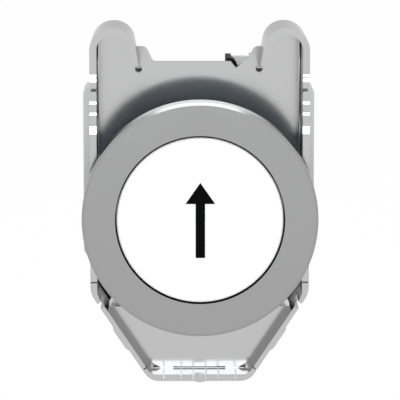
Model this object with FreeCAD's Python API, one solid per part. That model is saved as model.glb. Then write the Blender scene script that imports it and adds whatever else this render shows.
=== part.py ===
"""Panel push button: a spring-return head in a flush metal bezel, held by a deep pressed-steel
bracket and a die-cast fixing collar that carries two clip-on make-contact blocks.

Millimetres. X points right, Y to the rear and Z up. The origin is on the button's axis, in the
plane of the bezel's rear face, where the head seats on the front of its panel.
"""

import FreeCAD, Part
import math
import os

V = FreeCAD.Vector
REAR = V(0, 1, 0)
ORIGIN = V(0, 0, 0)

# Head: bezel flange and threadless neck for a 22.5 mm hole
FLANGE_R = 15.0
FLANGE_THICK = 3.2
FLANGE_EDGE = 0.35
NECK_R = 11.15
NECK_BORE_R = 9.65
NECK_END = 20.2
KEY_WIDTH = 1.6
KEY_REACH = 12.0
KEY_END = 1.8
GASKET_R = (12.2, 14.5)
GASKET_DEPTH = 0.9

# Button: cap, plunger, guide and return spring
TRAVEL = 4.3
CAP_R = 10.54
CAP_GAP = 0.24
CAP_SINK = 0.05
CAP_DISC = 1.2
LEDGE = TRAVEL - FLANGE_THICK + CAP_SINK + CAP_DISC + 0.2
SKIRT_R = (7.9, 9.3)
SKIRT_END = 0.8
PLUNGER_R = 6.95
PLUNGER_BORE_R = 5.4
PUSHER_R = 8.8
PUSHER_END = 17.9
RUNNING = 0.05
GUIDE_FRONT = 6.5
GUIDE_REAR = 16.0
RIB_WIDTH = 1.6
RIB_REACH = 7.6

# Bracket: a tray with two ears, open at the top between them
RIM = 2.1
FLOOR = 12.7
SHEET = 0.88
BEND_R = 0.25
DRAFT = 0.12
HALF_WIDTH = 14.05
EAR_TOP = 23.87
EAR_BASE = 17.6
EAR_INNER = (7.52, 8.62)
SHOULDER_TOP = 20.35
TRAY_BOTTOM = -21.9
TAPER_START = -10.42
FOOT_HALF = 6.42
PLATE_TOP = 18.37
TAPER_ANGLE = math.degrees(math.atan2(HALF_WIDTH - FOOT_HALF, TAPER_START - TRAY_BOTTOM))
FLOOR_REAR = FLOOR + 1.0
FOOT_FLOOR = 6.4
FOOT_STEP = -12.9
NICKS = ((17.62, 17.92), (16.99, 17.46), (14.13, 14.47), (12.71, 13.05), (10.98, 11.3), (10.3, 10.9))
NICK_SLOPE = 0.2
RIM_NOTCHES = (-4.65, -2.35, -0.83, 0.83, 2.43, 4.65)

# Fixing collar, bayonet lock ring and retainer plate behind the bracket
COLLAR_HALF = 15.15
COLLAR_TOP = 15.0
COLLAR_BOTTOM = -7.5
COLLAR_REAR = 20.3
RECESS_FRONT = 15.9
RECESS_R = 13.3
RING_R = 13.2
LUG_FRONT = 17.3
LUG_REAR = 19.1
LOCK_ANGLE = 30.0
LEVER_ANGLE = 13.9
LEVER_TIP = 18.9
PLATE_REAR = 22.3

# Contact block: one make contact in a 9.7 mm wide housing
BLOCK_PITCH = 15.0
BLOCK_HALF = 4.85
BLOCK_REAR = 43.2
BLOCK_TOP = 15.0
CATCH_DEPTHS = (25.5, 38.2)
VENTS = (-8.0, -6.5, -5.0, 3.8, 5.3, 6.8)
PIVOT_Y = 38.6
PIVOT_Z = 15.7
WALL = 1.0
STROKE_PART = 0.6
TERMINAL_Z = 11.4
WIRE_X = 2.45
WIRE_Y = 34.05
WIRE_R = 1.2
TIP_FRONT = 28.95 + TRAVEL * STROKE_PART + 0.05
STRIP_FRONT = TIP_FRONT + 0.4


def rounded(points):
    """A closed wire in the XZ plane through (x, z, radius) corners, each rounded by its radius."""
    corners = [V(x, 0, z) for x, z, _ in points]
    edges = []
    ends = []
    for i, (_, _, radius) in enumerate(points):
        corner = corners[i]
        to_last = (corners[i - 1] - corner).normalize()
        to_next = (corners[(i + 1) % len(points)] - corner).normalize()
        if not radius:
            ends.append((corner, corner))
            continue
        half = to_last.getAngle(to_next) / 2
        reach = radius / math.tan(half)
        middle = (to_last + to_next).normalize() * (radius / math.sin(half) - radius)
        start = corner + to_last * reach
        end = corner + to_next * reach
        edges.append(Part.Arc(start, corner + middle, end).toShape())
        ends.append((start, end))
    for i in range(len(points)):
        start = ends[i - 1][1]
        end = ends[i][0]
        if start.distanceToPoint(end) > 1e-6:
            edges.append(Part.makeLine(start, end))
    return Part.Wire(Part.__sortEdges__(edges))


def slab(points, front, rear):
    """The rounded outline as a plate from one depth to another."""
    face = Part.Face(rounded(points))
    face.translate(V(0, front, 0))
    return face.extrude(V(0, rear - front, 0))


def tapered(front_points, rear_points, front, rear):
    """A solid that runs from one rounded outline to a like one behind it."""
    wires = []
    for points, depth in ((front_points, front), (rear_points, rear)):
        wire = rounded(points)
        wire.translate(V(0, depth, 0))
        wires.append(wire)
    return Part.makeLoft(wires, True, True)


def box(x, y, z):
    """A block from three (low, high) pairs."""
    size = [high - low for low, high in (x, y, z)]
    return Part.makeBox(*size, V(x[0], y[0], z[0]))


def rod(radius, front, rear, x=0, z=0):
    """A round bar along the depth."""
    return Part.makeCylinder(radius, rear - front, V(x, front, z), REAR)


def ring(inner, outer, front, rear):
    """A round tube about the button's axis."""
    return rod(outer, front, rear).cut(rod(inner, front - 1, rear + 1))


def turned(profile):
    """The solid that a closed (radius, depth) profile sweeps about the button's axis."""
    wire = Part.makePolygon([V(r, y, 0) for r, y in profile + profile[:1]])
    return Part.Face(wire).revolve(ORIGIN, REAR, 360)


def spun(shape, angle):
    """A copy turned about the button's axis, positive to the right seen from the front."""
    copy = shape.copy()
    copy.rotate(ORIGIN, REAR, angle)
    return copy


def around(shape, angles):
    """Copies of a shape at these angles about the button's axis."""
    return [spun(shape, angle) for angle in angles]


def mirrored(shape):
    """The shape with its own mirror image on the other side of the centre plane."""
    return [shape, shape.mirror(ORIGIN, V(1, 0, 0))]


def coil(radius, wire, front, rear, turns, x=0, z=0):
    """A helical spring along the depth."""
    length = rear - front - 2 * wire
    helix = Part.makeHelix(length / turns, length, radius)
    start = V(radius, 0, 0)
    section = Part.Wire(Part.makeCircle(wire, start, V(0, 1, 0)))
    spring = Part.Wire(helix).makePipeShell([section], True, True)
    spring.rotate(ORIGIN, V(1, 0, 0), -90)
    spring.translate(V(x, front + wire, z))
    return spring


def one(shape):
    """The single solid of a boolean's result, with its split faces joined."""
    return shape.removeSplitter().Solids[0]


# --- head ------------------------------------------------------------------------------------


def bezel():
    """Flange and neck in one casting, with a gasket groove, a key and bayonet entries."""
    body = turned([
        (CAP_R + CAP_GAP, -FLANGE_THICK), (FLANGE_R - FLANGE_EDGE, -FLANGE_THICK),
        (FLANGE_R, FLANGE_EDGE - FLANGE_THICK), (FLANGE_R, 0), (GASKET_R[1] + 0.1, 0),
        (GASKET_R[1] + 0.1, -GASKET_DEPTH), (GASKET_R[0] - 0.1, -GASKET_DEPTH),
        (GASKET_R[0] - 0.1, 0), (NECK_R, 0), (NECK_R, LUG_FRONT - 0.1),
        (NECK_R - 0.75, LUG_FRONT - 0.1), (NECK_R - 0.75, LUG_REAR + 0.1),
        (NECK_R, LUG_REAR + 0.1), (NECK_R, NECK_END - 0.3), (NECK_R - 0.3, NECK_END),
        (NECK_BORE_R, NECK_END), (NECK_BORE_R, LEDGE), (CAP_R + CAP_GAP, LEDGE),
    ])
    key = box((-KEY_WIDTH / 2, KEY_WIDTH / 2), (-0.2, KEY_END), (NECK_R - 0.4, KEY_REACH))
    entry = box((-3.4, 3.4), (LUG_REAR, NECK_END + 1), (NECK_R - 0.75, NECK_R + 2))
    return one(body.fuse(key).cut(around(entry, (-LOCK_ANGLE, 90, 210))))


def panel_gasket():
    """Flat rubber ring that fills the groove in the flange's rear face."""
    return ring(*GASKET_R, -GASKET_DEPTH, -0.05)


def button_cap():
    """White moulded cap: a thin disc with an eased edge and a skirt with three snap windows."""
    front = CAP_SINK - FLANGE_THICK
    body = turned([
        (0, front), (CAP_R - 0.2, front), (CAP_R, front + 0.2), (CAP_R, front + CAP_DISC),
        (SKIRT_R[1], front + CAP_DISC), (SKIRT_R[1], SKIRT_END), (SKIRT_R[0], SKIRT_END),
        (SKIRT_R[0], front + CAP_DISC), (0, front + CAP_DISC),
    ])
    window = box((-1.6, 1.6), (-1.25, -0.05), (SKIRT_R[0] - 1, SKIRT_R[1] + 1))
    return one(body.cut(around(window, (0, 120, 240))))


def button_plunger():
    """Tube with a snap flange in front, three guide ribs and the pusher ring at the rear."""
    front = CAP_SINK - FLANGE_THICK + CAP_DISC
    pusher = GUIDE_REAR + RUNNING
    body = turned([
        (PLUNGER_BORE_R, front), (PLUNGER_R, front), (PLUNGER_R, -1.2), (SKIRT_R[0] - 0.1, -1.2),
        (SKIRT_R[0] - 0.1, -0.1), (PLUNGER_R, -0.1), (PLUNGER_R, pusher), (PUSHER_R, pusher),
        (PUSHER_R, PUSHER_END - 0.4), (PUSHER_R - 0.4, PUSHER_END), (PLUNGER_BORE_R, PUSHER_END),
    ])
    hook = box((-1.5, 1.5), (-1.2, -0.1), (PLUNGER_R, SKIRT_R[1] - 0.1))
    rib = box((-RIB_WIDTH / 2, RIB_WIDTH / 2), (2.0, pusher), (PLUNGER_R - 0.5, RIB_REACH))
    hooks = around(hook, (0, 120, 240))
    ribs = around(rib, (60, 180, 300))
    return one(body.fuse(hooks + ribs))


def button_guide():
    """Sleeve pressed into the neck, with three keyways and a seat for the return spring."""
    body = ring(PLUNGER_R + RUNNING, NECK_BORE_R, GUIDE_FRONT, GUIDE_REAR)
    half = RIB_WIDTH / 2 + RUNNING
    keyway = box((-half, half), (GUIDE_FRONT - 1, GUIDE_REAR + 1), (PLUNGER_R - 1, RIB_REACH + 0.1))
    seat = ring(SKIRT_R[0] + 0.1, 9.0, GUIDE_FRONT - 1, GUIDE_FRONT + 0.5)
    return one(body.cut(around(keyway, (60, 180, 300)) + [seat]))


def return_spring():
    """Compression spring between the cap's skirt and the guide."""
    return coil(8.45, 0.25, SKIRT_END + 0.02, GUIDE_FRONT + 0.48, 3)


# --- bracket ---------------------------------------------------------------------------------


def tray_outline(inset, top):
    """The tray with its ears, drawn in by an inset; between the ears it stops at top."""
    slant = (HALF_WIDTH - FOOT_HALF) / (TAPER_START - TRAY_BOTTOM)
    along = math.hypot(1, slant)
    side = HALF_WIDTH - inset
    bottom = TRAY_BOTTOM + inset
    start = TAPER_START + inset * (1 - along) / slant
    foot = side - slant * (start - bottom)
    ear = EAR_TOP - inset
    lean = (EAR_INNER[1] - EAR_INNER[0]) / (EAR_TOP - EAR_BASE)
    inner_top = EAR_INNER[1] + inset * math.hypot(1, lean) - inset * lean
    inner_base = inner_top - (ear - top) * lean
    right = [
        (foot, bottom, 2.2 - inset), (side, start, 3.0 - inset), (side, ear, 2.9 - inset),
        (inner_top, ear, 2.8 - inset), (inner_base, top, 0),
    ]
    return right + [(-x, z, r) for x, z, r in reversed(right)]


def plate_outline():
    """The floor between the ears: two shoulders, a straight edge and a notch over the lever."""
    return [
        (-12.0, -12.0, 0), (12.0, -12.0, 0), (12.0, 20.0, 0), (8.3, SHOULDER_TOP, 0.3),
        (7.3, SHOULDER_TOP, 0.9), (6.6, 19.1, 0), (4.85, 17.55, 0), (4.2, PLATE_TOP, 0),
        (-6.0, PLATE_TOP, 0.7), (-6.9, SHOULDER_TOP, 0.9), (-8.3, SHOULDER_TOP, 0.3),
        (-12.0, 20.0, 0),
    ]


def side_prism(points, x):
    """A prism across the width between two x values, from (depth, height) points."""
    corners = [V(x[0], y, z) for y, z in points]
    return Part.Face(Part.makePolygon(corners + corners[:1])).extrude(V(x[1] - x[0], 0, 0))


def across_taper(width, length, depth, x, z):
    """A cut across the right tapered wall: its width runs along the wall."""
    cut = box((-width / 2, width / 2), (RIM - 1, RIM + depth), (-length / 2, length / 2))
    cut.rotate(ORIGIN, REAR, TAPER_ANGLE - 90)
    cut.translate(V(x, 0, z))
    return cut


def side_slots():
    """Sloped nicks down the side walls, an undercut, a corner notch and the taper's cuts."""
    wall = (12.4, 15.5)
    cuts = [box(wall, (RIM - 1, RIM + 1.6), (-9.04, -8.86))]
    for low, high in NICKS:
        sloped = RIM + (high - low) * NICK_SLOPE
        cuts.append(side_prism([(RIM - 1, low), (RIM, low), (sloped, high), (RIM - 1, high)], wall))
    undercut = [(RIM, 15.76), (RIM - 1, 15.76), (RIM - 1, 16.15), (RIM + 3.5, 16.15), (RIM + 3.5, 14.9)]
    cuts.append(side_prism(undercut, wall))
    cuts.append(across_taper(0.7, 2.6, 5.0, 12.71, -11.92))
    cuts.append(across_taper(0.16, 2.4, 1.6, 7.3, -20.4))
    return cuts


def foot_cuts():
    """Notches and a dip in the bottom rim, and the seam and corners of the raised floor."""
    cuts = []
    for x in RIM_NOTCHES:
        cuts.append(box((x - 0.08, x + 0.08), (RIM - 1, RIM + 3.8), (TRAY_BOTTOM + 0.3, -20.5)))
    cuts.append(slab([(-0.85, -20.9, 0), (0.85, -20.9, 0), (0, -21.3, 0)], RIM - 1, RIM + 1.2))
    seam = TRAY_BOTTOM + SHEET
    through = (FOOT_FLOOR - 0.5, FOOT_FLOOR + 1.2)
    cuts.append(box((-3.4, 3.4), through, (seam, seam + 0.16)))
    corner = slab([(5.0, seam, 0), (6.0, seam, 0), (6.3, seam + 0.75, 0)], *through)
    return cuts + mirrored(corner)


def raised_foot():
    """The shallower floor of the foot, with the step that leads down to it."""
    inside = slab(tray_outline(SHEET / 2, EAR_BASE), FOOT_FLOOR, FLOOR_REAR)
    sheet = box((-20, 20), (FOOT_FLOOR, FOOT_FLOOR + 1.0), (-25, FOOT_STEP))
    step = box((-20, 20), (FOOT_FLOOR, FLOOR_REAR), (FOOT_STEP - 1.0, FOOT_STEP))
    return inside.common(sheet.fuse(step))


def behind_foot():
    """The space behind the raised floor."""
    inside = slab(tray_outline(SHEET, EAR_BASE), FOOT_FLOOR + 1.0, FLOOR_REAR + 1)
    return inside.common(box((-20, 20), (FOOT_FLOOR + 1.0, FLOOR_REAR + 1), (-25, FOOT_STEP - 1.0)))


def rim_additions():
    """The fold below the bottom rim and a raised pad on each tapered wall."""
    bottom = TRAY_BOTTOM
    half = 0.85
    dip = [(-half, bottom + 0.3, 0), (-half, bottom, 0), (0, bottom - 0.2, 0), (half, bottom, 0),
           (half, bottom + 0.3, 0)]
    fold = slab(dip, RIM, RIM + 2.5)
    swell = [(-0.3, -1.95, 0), (0.02, -1.95, 0.1), (0.26, -1.4, 0.3), (0.26, 1.4, 0.3),
             (0.02, 1.95, 0.1), (-0.3, 1.95, 0)]
    pad = slab(swell, RIM + 0.3, FLOOR - 1)
    pad.rotate(ORIGIN, REAR, TAPER_ANGLE)
    pad.translate(V(10.11, 0, -16.35))
    return [fold] + mirrored(pad)


def is_bend(edge):
    """True for the tray's inner floor edges, except the open one between the ears."""
    bounds = edge.BoundBox
    return bounds.YMin > FLOOR - 0.01 and not (bounds.ZLength < 0.01 and bounds.ZMin > 0)


def key_notch(front, rear):
    """The clearance for the neck's key through a plate."""
    return box((-KEY_WIDTH / 2 - 0.1, KEY_WIDTH / 2 + 0.1), (front, rear), (0, KEY_REACH + 0.1))


def mounting_bracket():
    """Drawn tray: floor, side walls that run round two ears, and bend reliefs beside them."""
    block = tapered(tray_outline(0, EAR_BASE), tray_outline(DRAFT, EAR_BASE), RIM, FLOOR_REAR)
    open_top = EAR_BASE + 0.5
    pocket = tapered(tray_outline(SHEET, open_top), tray_outline(SHEET - DRAFT, open_top), RIM - 0.01, FLOOR)
    pocket = pocket.makeFillet(BEND_R, [e for e in pocket.Edges if is_bend(e)])
    tray = block.cut([pocket, behind_foot()])
    floor = slab(plate_outline(), FLOOR, FLOOR_REAR)
    relief = rod(0.47, FLOOR - 1, FLOOR_REAR + 1, 7.87, 17.45)
    slit = slab([(7.38, 17.3, 0), (7.52, 17.3, 0), (8.12, 21.0, 0), (7.98, 21.0, 0)], FLOOR - 1, FLOOR + 0.5)
    under_ear = [(RIM - 1, 17.0), (RIM - 1, 19.1), (FLOOR - 0.4, 17.75), (FLOOR - 0.4, 17.0)]
    clearance = side_prism(under_ear, (7.0, 9.3))
    body = tray.fuse([floor, raised_foot()] + rim_additions())
    cuts = [rod(NECK_R + 0.15, FLOOR - 1, FLOOR_REAR + 1), key_notch(FLOOR - 1, FLOOR_REAR + 1)] + foot_cuts()
    for cut in [relief, slit, clearance] + side_slots():
        cuts += mirrored(cut)
    return one(body.cut(cuts))


# --- fixing collar ---------------------------------------------------------------------------


def collar_outline():
    """Wide upper body and a narrower foot that stays behind the tapered tray."""
    right = [(9.6, -15.2, 1.2), (11.8, -11.6, 1.2), (12.8, COLLAR_BOTTOM, 0.8),
             (COLLAR_HALF, COLLAR_BOTTOM, 1.0), (COLLAR_HALF, COLLAR_TOP, 1.0)]
    return right + [(-x, z, r) for x, z, r in reversed(right)]


def collar_screw_places():
    """Where the four retainer screws sit, as (x, z)."""
    return [(x, z) for z in (12.9, -12.2) for x in (-9.2, 9.2)]


def fixing_collar():
    """Die-cast collar with a recess for the lock ring and a window for its lever."""
    body = slab(collar_outline(), FLOOR_REAR, COLLAR_REAR)
    sweep = LOCK_ANGLE + 16
    window = Part.makeCylinder(24, COLLAR_REAR + 1 - RECESS_FRONT, V(0, RECESS_FRONT, 0), REAR, sweep)
    window = spun(window.cut(rod(12, RECESS_FRONT - 1, COLLAR_REAR + 2)), LEVER_ANGLE + 8 - 90 - sweep + 90)
    holes = [rod(0.8, FLOOR_REAR + 2, COLLAR_REAR + 1, x, z) for x, z in collar_screw_places()]
    bore = rod(NECK_R + 0.15, FLOOR, RECESS_FRONT + 1)
    recess = rod(RECESS_R, RECESS_FRONT, COLLAR_REAR + 1)
    for low, high in ((-5.5, 0.6), (1.6, 7.4), (8.4, 12.6)):
        holes += mirrored(box((COLLAR_HALF - 0.5, 20), (15.0, 19.2), (low, high)))
    return one(body.cut([bore, key_notch(FLOOR, RECESS_FRONT + 1), recess, window] + holes))


def lock_ring():
    """Bayonet ring: three inner lugs in the neck's groove and a lever out of the top."""
    front = RECESS_FRONT + 0.1
    rear = COLLAR_REAR - 0.4
    body = ring(NECK_R + 0.2, RING_R, front, rear)
    lug = box((-2.9, 2.9), (LUG_FRONT, LUG_REAR), (NECK_R - 0.55, RING_R - 0.8))
    lug = lug.common(ring(NECK_R - 0.6, RING_R - 0.3, LUG_FRONT, LUG_REAR))
    lever = slab([(-1.5, 12.6, 0), (1.5, 12.6, 0), (0.8, 15.5, 0), (0.8, LEVER_TIP - 0.7, 0.2),
                  (0.1, LEVER_TIP, 0.2), (-0.8, LEVER_TIP, 0.2), (-0.8, 15.5, 0)], front, front + 2.4)
    lever = spun(lever, LEVER_ANGLE)
    return one(body.fuse(around(lug, (0, 120, 240)) + [lever]))


def retainer_plate():
    """Plate behind the ring, with hook lips for the contact blocks and countersunk screw holes."""
    right = [(8.6, -16.0, 0.6), (11.8, -11.0, 0.6), (12.6, 16.0, 0.6), (12.0, 16.6, 0.3)]
    outline = right + [(-x, z, r) for x, z, r in reversed(right)]
    body = slab(outline, COLLAR_REAR, PLATE_REAR)
    cuts = [rod(PUSHER_R + 0.6, COLLAR_REAR - 1, PLATE_REAR + 1)]
    for x, z in collar_screw_places():
        cuts.append(rod(1.05, COLLAR_REAR - 1, PLATE_REAR + 1, x, z))
        cuts.append(Part.makeCone(1.05, 2.05, 1.0, V(x, PLATE_REAR - 1.0, z), REAR))
    return one(body.cut(cuts))


def collar_screws():
    """Four countersunk screws that hold the retainer plate to the collar."""
    screws = []
    for x, z in collar_screw_places():
        head = Part.makeCone(1.0, 2.0, 1.0, V(x, PLATE_REAR - 1.0, z), REAR)
        slot = box((x - 1.6, x + 1.6), (PLATE_REAR - 0.45, PLATE_REAR + 1), (z - 0.2, z + 0.2))
        screws.append(rod(0.75, COLLAR_REAR - 4.0, PLATE_REAR - 1.0, x, z).fuse(head).cut(slot))
    return Part.makeCompound([one(screw) for screw in screws])


# --- contact block ---------------------------------------------------------------------------


def both_ends(shape):
    """The shape and its image at the other end of the block."""
    return [shape, shape.mirror(ORIGIN, V(0, 0, 1))]


def block_housing():
    """Open-sided moulding: mechanism room, two terminal rooms, wire entries, hook and ears."""
    body = box((-BLOCK_HALF, BLOCK_HALF - WALL), (PLATE_REAR, BLOCK_REAR), (-BLOCK_TOP, BLOCK_TOP))
    body = body.makeChamfer(0.45, [e for e in body.Edges if is_rear_edge(e)])
    hook = slab([(-3, -17.1, 0.3), (3, -17.1, 0.3), (3, -14.5, 0), (-3, -14.5, 0)], PLATE_REAR, 25.0)
    toe = box((-3, 3), (19.4, PLATE_REAR), (-17.1, -16.1))
    lip = box((-3, 3), (19.4, COLLAR_REAR - 0.1), (-17.1, -15.5))
    ear = rounded_ear()
    catches = []
    for y in CATCH_DEPTHS:
        reach = (BLOCK_HALF - WALL - 0.5, BLOCK_HALF - 0.15)
        catches += both_ends(box(reach, (y - 1.2, y + 1.2), (BLOCK_TOP - 1.1, BLOCK_TOP)))
    body = body.fuse(catches + [hook, toe, lip] + [moved(ear, x) for x in (-3.6, -0.3)])
    room = box((WALL - BLOCK_HALF, BLOCK_HALF), (PLATE_REAR + 1.2, BLOCK_REAR - 1.2), (-9.0, 9.0))
    gate = box((-1.4, 1.4), (PLATE_REAR - 1, PLATE_REAR + 2), (-1.7, 1.7))
    terminal = box((-3.0, BLOCK_HALF), (29.0, 39.0), (9.6, 13.2))
    passage = box((-1.85, BLOCK_HALF), (STRIP_FRONT - 0.05, STRIP_FRONT + 0.65), (8.5, 10))
    wire = Part.makeCylinder(WIRE_R, 3, V(WIRE_X, WIRE_Y, 12.5), V(0, 0, 1))
    driver = rod(1.95, 38.5, BLOCK_REAR + 1, 0, TERMINAL_Z)
    cuts = [room, gate, box((-3.2, 2.2), (BLOCK_REAR - 0.25, BLOCK_REAR + 1), (-4.0, 4.0))]
    for z in VENTS:
        cuts.append(box((-BLOCK_HALF - 1, 0.3 - BLOCK_HALF), (33.5, BLOCK_REAR - 1.5), (z, z + 0.7)))
    for cut in (terminal, passage, wire, driver):
        cuts += both_ends(cut)
    pivot = Part.makeCylinder(0.45, 8, V(-5, PIVOT_Y, PIVOT_Z), V(1, 0, 0))
    return one(body.cut(cuts + [pivot]))


def is_rear_edge(edge):
    """True for the block's rear edges, except the one that the cover meets."""
    bounds = edge.BoundBox
    return bounds.YMin > BLOCK_REAR - 0.01 and bounds.XMin < BLOCK_HALF - WALL - 0.01


def rounded_ear():
    """One bearing ear for the latch, on top of the housing."""
    foot = box((0, 0.8), (PIVOT_Y - 1.6, PIVOT_Y + 1.2), (BLOCK_TOP - 0.5, PIVOT_Z))
    return foot.fuse(Part.makeCylinder(0.9, 0.8, V(0, PIVOT_Y, PIVOT_Z), V(1, 0, 0)))


def moved(shape, x):
    """A copy moved sideways."""
    copy = shape.copy()
    copy.translate(V(x, 0, 0))
    return copy


def block_cover():
    """Flat side cover of the block: an inner locating pad, a sunk panel and four snap windows."""
    front = PLATE_REAR + 0.05
    height = BLOCK_TOP - 0.05
    plate = box((BLOCK_HALF - WALL, BLOCK_HALF), (front, BLOCK_REAR - 0.05), (-height, height))
    pad = box((BLOCK_HALF - WALL - 0.6, BLOCK_HALF), (33.5, 39.5), (-8.6, 8.6))
    cuts = [box((BLOCK_HALF - 0.2, BLOCK_HALF + 1), (26.0, 39.0), (-8.0, 8.0))]
    for y in CATCH_DEPTHS:
        cuts += both_ends(box((0, 9), (y - 1.3, y + 1.3), (BLOCK_TOP - 1.2, BLOCK_TOP + 1)))
    return one(plate.fuse(pad).cut(cuts))


def contact_plunger():
    """Plastic slider with a window that carries the moving bridge."""
    body = box((-1.3, 1.3), (PUSHER_END + RUNNING, 34.0), (-1.6, 1.6))
    collar = box((-2.4, 2.4), (PLATE_REAR + 1.3, PLATE_REAR + 2.1), (-2.7, 2.7))
    window = box((-0.95, 0.95), (24.9, 28.6), (-3, 3))
    seat = rod(1.0, 33.0, 35)
    return one(body.fuse(collar).cut([window, seat]))


def moving_bridge():
    """Contact bar with a rounded silver tip at each end."""
    bar = box((-0.85, 0.85), (28.05, 28.55), (-7.6, 7.6))
    tip = rod(0.75, 28.5, 28.95, 0, 6.5)
    return one(bar.fuse(both_ends(tip)))


def fixed_contact():
    """Upper fixed contact: a strip from the silver tip out to the terminal screw."""
    strip = box((-1.75, 1.75), (STRIP_FRONT, STRIP_FRONT + 0.6), (5.2, 13.0))
    tip = rod(0.9, TIP_FRONT, STRIP_FRONT + 0.1, 0, 6.5)
    hole = rod(1.3, STRIP_FRONT - 1, STRIP_FRONT + 2, 0, TERMINAL_Z)
    return one(strip.fuse(tip).cut(hole))


def terminal_screws():
    """The block's two slotted terminal screws, driven from the rear."""
    shaft = rod(1.2, 30.0, 37.0, 0, TERMINAL_Z)
    head = rod(1.75, 36.3, 38.6, 0, TERMINAL_Z)
    slot = box((-2.5, 2.5), (37.7, 40), (TERMINAL_Z - 0.3, TERMINAL_Z + 0.3))
    return Part.makeCompound([s for s in both_ends(one(shaft.fuse(head).cut(slot)))])


def terminal_clamps():
    """The block's two square clamp plates, with a ridge that bites on the wire."""
    plate = box((-2.8, 3.7), (35.5, 36.3), (9.7, 13.1))
    ridge = box((3.1, 3.7), (35.0, 35.7), (9.7, 13.1))
    hole = rod(1.3, 34, 37, 0, TERMINAL_Z)
    return Part.makeCompound(both_ends(one(plate.fuse(ridge).cut(hole))))


def bridge_spring():
    """Contact-pressure spring in the plunger's window."""
    return coil(0.62, 0.12, 25.0, 28.0, 4)


def plunger_spring():
    """Return spring between the plunger and the housing's rear wall."""
    return coil(0.8, 0.15, 33.05, BLOCK_REAR - 1.25, 7)


def block_latch():
    """Sloping lever on the block: a hook over the retainer in front and a pivot at the rear."""
    profile = [(19.4, 16.75), (22.6, 16.75), (36.0, 15.35), (36.0, 16.75), (19.4, 18.4)]
    hook = [(19.4, 15.4), (20.2, 15.4), (20.2, 17.0), (19.4, 17.0)]
    tail = [(35.0, 15.45), (39.4, 15.2), (39.4, 16.2), (35.0, 16.8)]
    ends = [side_prism(hook, (-2.95, -1.2)), side_prism(tail, (-2.7, -0.4))]
    arm = side_prism(profile, (-2.95, 1.15)).fuse(ends)
    grips = [box((-3, 1.2), (y, y + 0.5), (17.3, 20)) for y in (21.0, 22.2, 23.4)]
    pin = Part.makeCylinder(0.4, 3.86, V(-3.48, PIVOT_Y, PIVOT_Z), V(1, 0, 0))
    return one(arm.cut(grips).fuse(pin))


BLOCK_PIECES = {
    "block_housing": block_housing,
    "block_cover": block_cover,
    "contact_plunger": contact_plunger,
    "moving_bridge": moving_bridge,
    "bridge_spring": bridge_spring,
    "plunger_spring": plunger_spring,
    "terminal_screws": terminal_screws,
    "terminal_clamps": terminal_clamps,
    "block_latch": block_latch,
}

SINGLE_PIECES = {
    "bezel": bezel,
    "panel_gasket": panel_gasket,
    "button_cap": button_cap,
    "button_plunger": button_plunger,
    "button_guide": button_guide,
    "return_spring": return_spring,
    "mounting_bracket": mounting_bracket,
    "fixing_collar": fixing_collar,
    "lock_ring": lock_ring,
    "retainer_plate": retainer_plate,
    "collar_screws": collar_screws,
}


def build():
    """Every node of the part by name."""
    nodes = {name: make() for name, make in SINGLE_PIECES.items()}
    blocks = {name: make() for name, make in BLOCK_PIECES.items()}
    blocks["fixed_contact_upper"] = fixed_contact()
    blocks["fixed_contact_lower"] = both_ends(fixed_contact())[1]
    for side, x in (("left", -BLOCK_PITCH / 2), ("right", BLOCK_PITCH / 2)):
        for name, shape in blocks.items():
            nodes[f"{side}_{name}"] = moved(shape, x)
    return nodes


os.makedirs("parts", exist_ok=True)
for node, shape in build().items():
    assert shape.isValid() and shape.Volume > 0, node
    shape.exportStep(f"parts/{node}.step")
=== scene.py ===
# %% [markdown]
# # A panel push button with an up arrow
# The construction is already finished as a CAD model: a metal bezel with a white cap, a deep pressed
# bracket, a die-cast collar and two contact blocks. This lesson dresses it: it gives every part a
# believable finish, prints the arrow on the cap, winds wire springs in place of the CAD ones, and sets
# up a plain studio round it.

import math

import bpy
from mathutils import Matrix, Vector


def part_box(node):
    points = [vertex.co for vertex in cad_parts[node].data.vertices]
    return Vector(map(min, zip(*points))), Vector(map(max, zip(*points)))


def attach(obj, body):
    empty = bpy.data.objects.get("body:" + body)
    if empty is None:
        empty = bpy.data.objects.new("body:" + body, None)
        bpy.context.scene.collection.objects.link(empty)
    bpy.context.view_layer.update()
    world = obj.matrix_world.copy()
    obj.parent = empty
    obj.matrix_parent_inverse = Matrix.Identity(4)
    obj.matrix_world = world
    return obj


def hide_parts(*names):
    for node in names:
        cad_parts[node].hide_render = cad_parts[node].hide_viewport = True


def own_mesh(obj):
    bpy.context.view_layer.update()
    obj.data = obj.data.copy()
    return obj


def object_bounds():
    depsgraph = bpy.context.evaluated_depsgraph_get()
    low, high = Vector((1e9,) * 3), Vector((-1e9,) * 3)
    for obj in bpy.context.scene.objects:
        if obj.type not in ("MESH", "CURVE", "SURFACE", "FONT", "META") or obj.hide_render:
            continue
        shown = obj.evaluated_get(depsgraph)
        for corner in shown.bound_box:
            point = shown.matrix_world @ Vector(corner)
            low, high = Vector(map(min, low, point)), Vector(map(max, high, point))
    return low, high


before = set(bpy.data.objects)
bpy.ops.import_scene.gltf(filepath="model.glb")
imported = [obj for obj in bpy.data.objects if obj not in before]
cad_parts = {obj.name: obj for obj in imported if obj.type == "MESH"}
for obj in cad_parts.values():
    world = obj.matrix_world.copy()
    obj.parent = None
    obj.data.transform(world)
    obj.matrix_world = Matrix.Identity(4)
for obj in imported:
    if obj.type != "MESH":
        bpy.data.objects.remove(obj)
cad_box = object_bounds()
MM = 0.001

# %% [markdown]
# ## Helpers
# Colours are easiest to read as the hex values of a colour picker, but shaders add light together, so
# they need linear values. One function does that step. A second one adds a shader node with its
# settings and its links in a single readable line, which keeps each material short.

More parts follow.
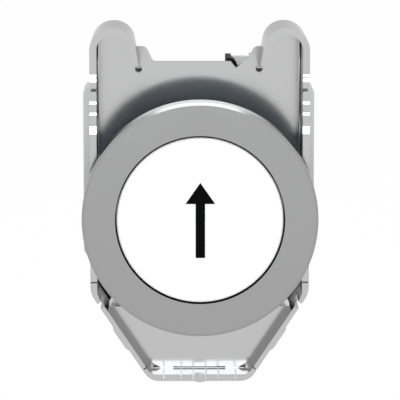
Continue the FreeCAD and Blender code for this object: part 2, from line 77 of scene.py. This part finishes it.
# %% Colour and node helpers
def linear(hex_colour):
    """An sRGB hex colour as the linear red, green, blue and alpha that shaders work in."""
    parts = [int(hex_colour[i:i + 2], 16) / 255 for i in (1, 3, 5)]
    curve = [c / 12.92 if c <= 0.04045 else ((c + 0.055) / 1.055) ** 2.4 for c in parts]
    return (*curve, 1.0)


def add_node(tree, kind, settings=None, sockets=None, links=None):
    """Adds a node, sets its properties and socket values, and links sockets from other nodes."""
    node = tree.nodes.new(kind)
    for name, value in (settings or {}).items():
        setattr(node, name, value)
    for name, value in (sockets or {}).items():
        node.inputs[name].default_value = value
    for name, source in (links or {}).items():
        tree.links.new(source, node.inputs[name])
    return node


def per_mm(size):
    """The texture scale at which one feature is about this many millimetres across."""
    return 1 / (size * MM)


def new_material(name):
    """An empty node material with its Principled shader and object-space coordinates."""
    material = bpy.data.materials.new(name)
    material.use_nodes = True
    tree = material.node_tree
    shader = tree.nodes["Principled BSDF"]
    coords = add_node(tree, "ShaderNodeTexCoord").outputs["Object"]
    return material, tree, shader, coords


print("helpers ready")

# %% [markdown]
# ## Satin metals
# The bezel is zinc, die cast, blasted with fine beads and plated with dull nickel. The bracket is
# cold-rolled steel sheet, pressed and bright zinc plated, so it is smoother and paler. A metal's base
# colour is what it reflects head on, and its roughness sets how soft that reflection is. Fine grain
# comes from a noise texture that is a fraction of a millimetre across: it tilts the surface a little
# through a Bump node and makes the roughness wander, as plating does. Real bead marks, about 0.05 mm
# across, are too fine to show, so they are drawn coarser here. A picture of real plating would do as
# well, but noise needs no file and has no seam where it repeats.

# %% Satin metal material
CLOUD = 9.0             # millimetres across a patch of slightly duller plating
SUM_RANGE = (0.6, 1.4)  # where nearly all sums of two noise values lie
BUMP_HEIGHT = 0.01 * MM


def satin_metal(name, colour, roughness, grain, depth, spread, stretch=(1, 1, 1), edge="#FFFFFF"):
    """A satin metal: grain is in millimetres, depth is the bump strength, edge is its glancing tint,
    and the roughness wanders by spread either way."""
    material, tree, shader, coords = new_material(name)
    shader.inputs["Base Color"].default_value = linear(colour)
    shader.inputs["Metallic"].default_value = 1.0
    shader.inputs["Specular Tint"].default_value = linear(edge)
    mapped = add_node(tree, "ShaderNodeMapping", sockets={"Scale": stretch}, links={"Vector": coords})
    fine = add_node(tree, "ShaderNodeTexNoise", sockets={"Scale": per_mm(grain), "Detail": 3.0},
                    links={"Vector": mapped.outputs["Vector"]})
    clouds = add_node(tree, "ShaderNodeTexNoise", sockets={"Scale": per_mm(CLOUD), "Detail": 2.0},
                      links={"Vector": coords})
    both = add_node(tree, "ShaderNodeMath", {"operation": "ADD"},
                    links={0: fine.outputs["Fac"], 1: clouds.outputs["Fac"]})
    rough = add_node(tree, "ShaderNodeMapRange",
                     sockets={"From Min": SUM_RANGE[0], "From Max": SUM_RANGE[1],
                              "To Min": roughness - spread, "To Max": roughness + spread},
                     links={"Value": both.outputs[0]})
    tree.links.new(rough.outputs["Result"], shader.inputs["Roughness"])
    bump = add_node(tree, "ShaderNodeBump", sockets={"Strength": depth, "Distance": BUMP_HEIGHT},
                    links={"Height": fine.outputs["Fac"]})
    tree.links.new(bump.outputs["Normal"], shader.inputs["Normal"])
    return material


# Die-cast zinc, bead blasted and nickel plated: an even grey with a blurred shine, darker at its rim.
nickel_plated_zinc = satin_metal("nickel_plated_die_cast_zinc", "#A0A0A0", roughness=0.21, grain=0.2,
                                 depth=0.08, spread=0.02, edge="#BCBCBC")
# Cold-rolled sheet, bright zinc plated: pale and smooth enough to mirror its neighbours softly.
zinc_plated_sheet = satin_metal("bright_zinc_plated_steel_sheet", "#BFBFBF", roughness=0.14, grain=0.35,
                                depth=0.03, spread=0.015, edge="#C2C2C2")
# Die-cast zinc straight from the tumbler: a pale, blurred shine over a slightly lumpy skin.
bare_die_cast = satin_metal("tumbled_die_cast_zinc", "#BDBEC0", roughness=0.34, grain=0.5, depth=0.3,
                            spread=0.05)
# Cold-drawn wire: bright, with a fine unevenness from the drawing die.
spring_wire = satin_metal("drawn_spring_steel_wire", "#B9B8B4", roughness=0.25, grain=0.2, depth=0.15,
                          spread=0.04)
# Zinc-plated screws: bright, with a trace of yellow from the passivation.
screw_steel = satin_metal("zinc_plated_screw_steel", "#C6C4BB", roughness=0.26, grain=0.25, depth=0.08,
                          spread=0.03)
# Stamped brass: warm yellow, with grain that runs along the rolled strip.
contact_brass = satin_metal("stamped_contact_brass", "#C9A765", roughness=0.27, grain=0.2, depth=0.15,
                            spread=0.05, stretch=(1, 6, 1))
metals = (nickel_plated_zinc, zinc_plated_sheet, bare_die_cast, spring_wire, screw_steel, contact_brass)
print("metals:", [metal.name for metal in metals])

# %% [markdown]
# ## Moulded plastics and rubber
# Moulded plastic takes the skin of its steel mould: polished for the cap, spark eroded to a fine
# leathery grain for the blocks. It has no metal in it, so its colour comes from below the surface, and
# a clear gloss lies on top. One flat colour would look drawn, so a noise pattern shades it by a few
# percent, as pigment does, and a finer one makes the mould grain. That grain is about 0.1 mm across on
# the real pieces, too fine to show, and so it is drawn a few times as coarse.

# %% Plastic material
PIGMENT = 4.0                 # millimetres across a cloud of pigment
PIGMENT_RANGE = (0.35, 0.65)  # the noise values where the two colours are reached
SKIN_RANGE = (0.3, 0.7)       # where nearly all noise values lie
GLOSS_SPREAD = 0.04           # how far the roughness wanders
LIGHT_REACH = 0.4 * MM        # how far light spreads below the surface


def moulded(name, colour, shade, roughness, grain, depth, subsurface=0.0, clear=0.0, gloss=0.5):
    """A plastic, rubber or ink whose pigment wanders between two close colours. Grain is in
    millimetres, depth is the bump strength, and clear is the share of light that passes through."""
    material, tree, shader, coords = new_material(name)
    cloud = add_node(tree, "ShaderNodeTexNoise", sockets={"Scale": per_mm(PIGMENT), "Detail": 3.0},
                     links={"Vector": coords})
    ramp = add_node(tree, "ShaderNodeValToRGB", links={"Fac": cloud.outputs["Fac"]})
    for stop, place, tone in zip(ramp.color_ramp.elements, PIGMENT_RANGE, (shade, colour)):
        stop.position = place
        stop.color = linear(tone)
    tree.links.new(ramp.outputs["Color"], shader.inputs["Base Color"])
    skin = add_node(tree, "ShaderNodeTexNoise", sockets={"Scale": per_mm(grain), "Detail": 2.0},
                    links={"Vector": coords})
    rough = add_node(tree, "ShaderNodeMapRange",
                     sockets={"From Min": SKIN_RANGE[0], "From Max": SKIN_RANGE[1],
                              "To Min": roughness - GLOSS_SPREAD, "To Max": roughness + GLOSS_SPREAD},
                     links={"Value": skin.outputs["Fac"]})
    tree.links.new(rough.outputs["Result"], shader.inputs["Roughness"])
    bump = add_node(tree, "ShaderNodeBump", sockets={"Strength": depth, "Distance": BUMP_HEIGHT},
                    links={"Height": skin.outputs["Fac"]})
    tree.links.new(bump.outputs["Normal"], shader.inputs["Normal"])
    shader.inputs["IOR"].default_value = 1.5
    shader.inputs["Specular IOR Level"].default_value = gloss
    shader.inputs["Subsurface Weight"].default_value = subsurface
    shader.inputs["Subsurface Scale"].default_value = LIGHT_REACH
    shader.inputs["Transmission Weight"].default_value = clear
    return material


# Polished white ABS: clean white with a soft, broad gloss.
cap_plastic = moulded("polished_white_abs", "#F8F8F8", "#F7F7F7", roughness=0.28, grain=0.5, depth=0.02,
                      subsurface=0.1)
# Black nylon from an eroded mould: deep black with a dull sheen.
black_nylon = moulded("black_nylon", "#0E0F10", "#0B0C0D", roughness=0.45, grain=0.25, depth=0.4)
# Matt black acetal: so dull that it shows as a flat black.
matt_acetal = moulded("matt_black_acetal", "#0A0A0B", "#080809", roughness=0.6, grain=0.2, depth=0.5,
                      gloss=0.1)
# Grey nitrile rubber: matt, with a trace of blue.
nitrile_rubber = moulded("slate_nitrile_rubber", "#808D99", "#788592", roughness=0.6, grain=0.3, depth=0.5)
# Glass-filled nylon, near black: the fibres leave a dry, faintly leathery skin.
block_nylon = moulded("near_black_glass_filled_nylon", "#191A1C", "#151618", roughness=0.5, grain=0.3,
                      depth=0.6, gloss=0.3)
# The same nylon in dark grey: the cover stands out a little from the housing.
cover_nylon = moulded("dark_grey_glass_filled_nylon", "#3E4146", "#393C40", roughness=0.46, grain=0.3,
                      depth=0.5)
# Green acetal: a strong colour with an oily, even gloss.
slider_green = moulded("green_acetal", "#2F8F62", "#2B855B", roughness=0.35, grain=0.4, depth=0.2)
# Clear polycarbonate with a breath of green: glossy, half see-through, pale where it is thick.
pale_green_clear = moulded("pale_green_polycarbonate", "#DDF2E8", "#D6EDE2", roughness=0.16, grain=0.6,
                           depth=0.1, clear=0.5)
# Clear polycarbonate: glossy, with a milky brightness where light gathers in it.
water_clear = moulded("clear_polycarbonate", "#FCFEFE", "#F9FBFB", roughness=0.12, grain=0.6, depth=0.1,
                      subsurface=0.2, clear=0.3)
# Pad-printing ink: a thin, dry, matt black film.
arrow_ink = moulded("black_pad_print_ink", "#080908", "#070707", roughness=0.6, grain=0.12, depth=0.3,
                    gloss=0.03)
print("plastics ready")

# %% [markdown]
# ## Dress the CAD parts
# The CAD parts already have the right shape, so each keeps its mesh and only trades its plain material
# for the finish of the real piece. Both contact blocks use the same finishes, apart from the latch.
# The springs get theirs too, although wound ones take their place further down.

# %% Give every CAD part its finish
FINISHES = {
    "bezel": nickel_plated_zinc,
    "panel_gasket": nitrile_rubber,
    "button_cap": cap_plastic,
    "button_plunger": black_nylon,
    "button_guide": black_nylon,
    "return_spring": spring_wire,
    "mounting_bracket": zinc_plated_sheet,
    "fixing_collar": bare_die_cast,
    "lock_ring": matt_acetal,
    "retainer_plate": zinc_plated_sheet,
    "collar_screws": screw_steel,
    "left_block_latch": pale_green_clear,
    "right_block_latch": water_clear,
}
BLOCK_FINISHES = {
    "block_housing": block_nylon,
    "block_cover": cover_nylon,
    "contact_plunger": slider_green,
    "moving_bridge": contact_brass,
    "bridge_spring": spring_wire,
    "plunger_spring": spring_wire,
    "fixed_contact_upper": contact_brass,
    "fixed_contact_lower": contact_brass,
    "terminal_screws": screw_steel,
    "terminal_clamps": screw_steel,
}
for side in ("left", "right"):
    FINISHES.update({f"{side}_{name}": finish for name, finish in BLOCK_FINISHES.items()})
for name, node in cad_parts.items():
    for slot in node.material_slots:
        slot.material = FINISHES[name]
print("dressed", len(FINISHES), "of", len(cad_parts))

# %% [markdown]
# ## The arrow
# The arrow is pad printed: a film of black ink a few hundredths of a millimetre thick. It starts as a
# plane the size of the shaft. The plane's upper edge is extruded sideways and up into the head, the
# outline is given its thickness, and a tiny bevel softens the edge of the ink film. It could also be
# painted into the cap's material, but as a piece of its own its edge stays sharp from close by.

# %% Print the arrow on the cap
ARROW_TOP = 4.8 * MM
ARROW_FOOT = -4.83 * MM
HEAD_BASE = 2.1 * MM
HEAD_HALF = 1.88 * MM
SHAFT_HALF = 0.6 * MM
ARROW_X = 0.03 * MM
INK = 0.03 * MM
INK_BEVEL = 0.4 * INK
HAIR = 1e-6            # metres: points nearer than this lie on one line
SEAM = 1e-7            # metres: points nearer than this are one point


def print_arrow():
    """A flat arrow, pointing up, raised by the ink's thickness from the front of the cap."""
    face_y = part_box("button_cap")[0][1]
    bpy.ops.object.select_all(action="DESELECT")
    bpy.ops.mesh.primitive_plane_add(size=1, rotation=(math.pi / 2, 0, 0))
    arrow = bpy.context.object
    arrow.name = "up_arrow_print"
    arrow.scale = (2 * SHAFT_HALF, HEAD_BASE - ARROW_FOOT, 1)
    arrow.location = (ARROW_X, face_y, (HEAD_BASE + ARROW_FOOT) / 2)
    bpy.ops.object.transform_apply()
    bpy.ops.object.mode_set(mode="EDIT")
    bpy.ops.mesh.select_all(action="DESELECT")
    bpy.ops.object.mode_set(mode="OBJECT")
    for edge in arrow.data.edges:
        edge.select = all(arrow.data.vertices[v].co.z > HEAD_BASE - HAIR for v in edge.vertices)
    bpy.ops.object.mode_set(mode="EDIT")
    bpy.ops.mesh.extrude_region_move()
    bpy.ops.transform.resize(value=(HEAD_HALF / SHAFT_HALF, 1, 1))
    bpy.ops.mesh.extrude_region_move(TRANSFORM_OT_translate={"value": (0, 0, ARROW_TOP - HEAD_BASE)})
    bpy.ops.mesh.merge(type="CENTER")
    bpy.ops.mesh.select_all(action="SELECT")
    bpy.ops.mesh.extrude_region_move(TRANSFORM_OT_translate={"value": (0, -INK, 0)})
    bpy.ops.mesh.select_all(action="SELECT")
    bpy.ops.mesh.remove_doubles(threshold=SEAM)
    bpy.ops.mesh.normals_make_consistent(inside=False)
    bpy.ops.object.mode_set(mode="OBJECT")
    bevel = arrow.modifiers.new("soft_ink_edge", "BEVEL")
    bevel.width = INK_BEVEL
    bevel.segments = 2
    bpy.ops.object.modifier_apply(modifier=bevel.name)
    arrow.data.materials.clear()
    arrow.data.materials.append(arrow_ink)
    return arrow


arrow = print_arrow()
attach(arrow, "button")
print("arrow:", [round(d / MM, 2) for d in arrow.dimensions], "mm")

# %% [markdown]
# ## The springs
# One coil spring pushes the button back out, and each contact block has a second one behind its plunger
# and a small third one that presses the bridge on its contacts. A real spring can't stay rigid: when the
# button goes in, its coils close up. All five are wound here: a circle as thick as the wire is turned
# round the spring's axis by a Screw modifier, and its two cut ends are filled.

# %% Wind the springs
WIRE_SIDES = 12
TURN_STEPS = 36


def wind(node, wire, turns):
    """A helical spring along the depth, as long and as wide as the CAD node; wire is its radius."""
    low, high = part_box(node)
    radius = (high[0] - low[0]) / 2 - wire
    bpy.ops.object.select_all(action="DESELECT")
    bpy.ops.mesh.primitive_circle_add(vertices=WIRE_SIDES, radius=wire, location=(radius, 0, 0))
    spring = bpy.context.object
    spring.name = f"wound_{node}"
    bpy.ops.object.transform_apply()
    coil = spring.modifiers.new("turns", "SCREW")
    coil.axis = "Y"
    coil.iterations = turns
    coil.screw_offset = (high[1] - low[1] - 2 * wire) / turns
    coil.steps = coil.render_steps = TURN_STEPS
    bpy.ops.object.modifier_apply(modifier=coil.name)
    bpy.ops.object.mode_set(mode="EDIT")
    bpy.ops.mesh.select_all(action="SELECT")
    bpy.ops.mesh.remove_doubles(threshold=SEAM)
    bpy.ops.mesh.fill_holes(sides=WIRE_SIDES)
    bpy.ops.mesh.select_all(action="SELECT")
    bpy.ops.mesh.normals_make_consistent(inside=False)
    bpy.ops.mesh.faces_shade_smooth()
    bpy.ops.object.mode_set(mode="OBJECT")
    spring.location = ((low[0] + high[0]) / 2, low[1] + wire, (low[2] + high[2]) / 2)
    bpy.ops.object.transform_apply()
    spring.data.materials.clear()
    spring.data.materials.append(spring_wire)
    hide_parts(node)
    return spring, low, high


spring, low, high = wind("return_spring", wire=0.25 * MM, turns=3)
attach(spring, "unit")
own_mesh(spring)
for side in ("left", "right"):
    spring, low, high = wind(f"{side}_plunger_spring", wire=0.15 * MM, turns=7)
    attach(spring, "unit")
    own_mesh(spring)
    spring, low, high = wind(f"{side}_bridge_spring", wire=0.12 * MM, turns=4)
    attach(spring, f"{side}_contact")
    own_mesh(spring)

# %% [markdown]
# ## Studio
# Satin metal only looks like metal when it has something to reflect. So the world and the floor are
# white wherever they are seen, mirrored or looked at through clear plastic, and they light everything
# else a little less. The floor is far enough below that the part throws only a faint shadow on it.

# %% Floor and world
DROP = 40 * MM
FLOOR_SIZE = 6         # metres
FLOOR_GLOW = 0.95      # the rest is left to the paper itself, so that it can show a shadow
FILL = 0.8             # the world's light on the part, beside 1 where it is seen


def seen_share(tree):
    """A value that is 1 for rays that show the surface to the eye, straight, mirrored or through glass."""
    path = add_node(tree, "ShaderNodeLightPath")
    seen = add_node(tree, "ShaderNodeMath", {"operation": "MAXIMUM"},
                    links={0: path.outputs["Is Camera Ray"], 1: path.outputs["Is Glossy Ray"]})
    seen = add_node(tree, "ShaderNodeMath", {"operation": "MAXIMUM"},
                    links={0: seen.outputs[0], 1: path.outputs["Is Transmission Ray"]})
    return seen.outputs[0]


def stage_floor():
    """A large pale floor under the part that shows white to the camera and keeps a faint shadow."""
    low = cad_box[0][2] - DROP
    bpy.ops.object.select_all(action="DESELECT")
    bpy.ops.mesh.primitive_plane_add(size=FLOOR_SIZE, location=(0, 0, low))
    floor = bpy.context.object
    floor.name = "floor"
    material, tree, shader, _ = new_material("matt_white_paper")
    shader.inputs["Base Color"].default_value = linear("#F4F4F4")
    shader.inputs["Roughness"].default_value = 0.9
    glow = add_node(tree, "ShaderNodeEmission", sockets={"Color": (1, 1, 1, 1), "Strength": 1.0})
    part = add_node(tree, "ShaderNodeMath", {"operation": "MULTIPLY"}, sockets={1: FLOOR_GLOW},
                    links={0: seen_share(tree)})
    mix = add_node(tree, "ShaderNodeMixShader",
                   links={0: part.outputs[0], 1: shader.outputs["BSDF"], 2: glow.outputs["Emission"]})
    tree.links.new(mix.outputs["Shader"], tree.nodes["Material Output"].inputs["Surface"])
    floor.data.materials.append(material)


def light_world():
    """White where it is seen or reflected, and a plain even fill on everything else."""
    world = bpy.data.worlds.new("studio")
    bpy.context.scene.world = world
    world.use_nodes = True
    tree = world.node_tree
    strength = add_node(tree, "ShaderNodeMapRange", sockets={"To Min": FILL, "To Max": 1.0},
                        links={"Value": seen_share(tree)})
    background = tree.nodes["Background"]
    background.inputs["Color"].default_value = (1, 1, 1, 1)
    tree.links.new(strength.outputs["Result"], background.inputs["Strength"])


stage_floor()
light_world()
print("floor and world ready")

# %% [markdown]
# A lamp's size is what makes its light soft. The broad one above gives the upward edges their bright
# line. The smaller, stronger one in front has a trace of cool daylight, and shows as a bright band
# wherever two metal faces meet in a corner and send it back, such as on the foot of the bracket.

# %% Lamps
def soft_lamp(name, place, aim, size, radiance, colour="#FFFFFF"):
    """A square soft box whose surface is this many times as bright as the white world."""
    data = bpy.data.lights.new(name, "AREA")
    data.color = linear(colour)[:3]
    data.size = size
    data.energy = radiance * math.pi * size * size
    lamp = bpy.data.objects.new(name, data)
    bpy.context.collection.objects.link(lamp)
    lamp.location = place
    lamp.rotation_euler = (Vector(aim) - Vector(place)).to_track_quat("-Z", "Y").to_euler()


soft_lamp("overhead_soft_box", place=(0, -0.05, 0.55), aim=(0, 0.01, 0), size=0.5, radiance=2.0)
soft_lamp("front_soft_box", place=(0, -0.85, 0.2), aim=(0, 0, 0), size=0.3, radiance=4.7,
          colour="#F8FEFF")

# %% [markdown]
# ## Camera
# Product pictures of small parts are taken from far away with a long lens, which keeps round things
# round. This camera stands 0.4 m in front, about nine degrees above the button's axis and a touch to
# the left, and looks at a point a little above the middle of the cap.

# %% Camera
VIEW_UP = math.radians(9.0)
VIEW_LEFT = math.radians(0.6)
DISTANCE = 400 * MM
LENS = 284.6           # millimetres, for a sensor 36 mm wide
AIM_RIGHT = -0.01 * MM
AIM_UP = 2.59 * MM


def place_camera():
    """A long-lens camera at the view's angles, aimed a little above the bezel's centre."""
    look = Vector((math.sin(VIEW_LEFT) * math.cos(VIEW_UP), math.cos(VIEW_LEFT) * math.cos(VIEW_UP),
                   -math.sin(VIEW_UP)))
    up = Vector((0, math.sin(VIEW_UP), math.cos(VIEW_UP)))
    aim = Vector((AIM_RIGHT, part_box("bezel")[0][1], 0)) + up * AIM_UP
    data = bpy.data.cameras.new("camera")
    data.lens = LENS
    data.sensor_width = 36.0
    data.clip_start = 0.01
    camera = bpy.data.objects.new("camera", data)
    bpy.context.collection.objects.link(camera)
    camera.location = aim - look * DISTANCE
    camera.rotation_euler = look.to_track_quat("-Z", "Y").to_euler()
    bpy.context.scene.camera = camera


place_camera()
bpy.context.scene.view_settings.view_transform = "Standard"
print("camera at", [round(v / MM) for v in bpy.context.scene.camera.location], "mm")
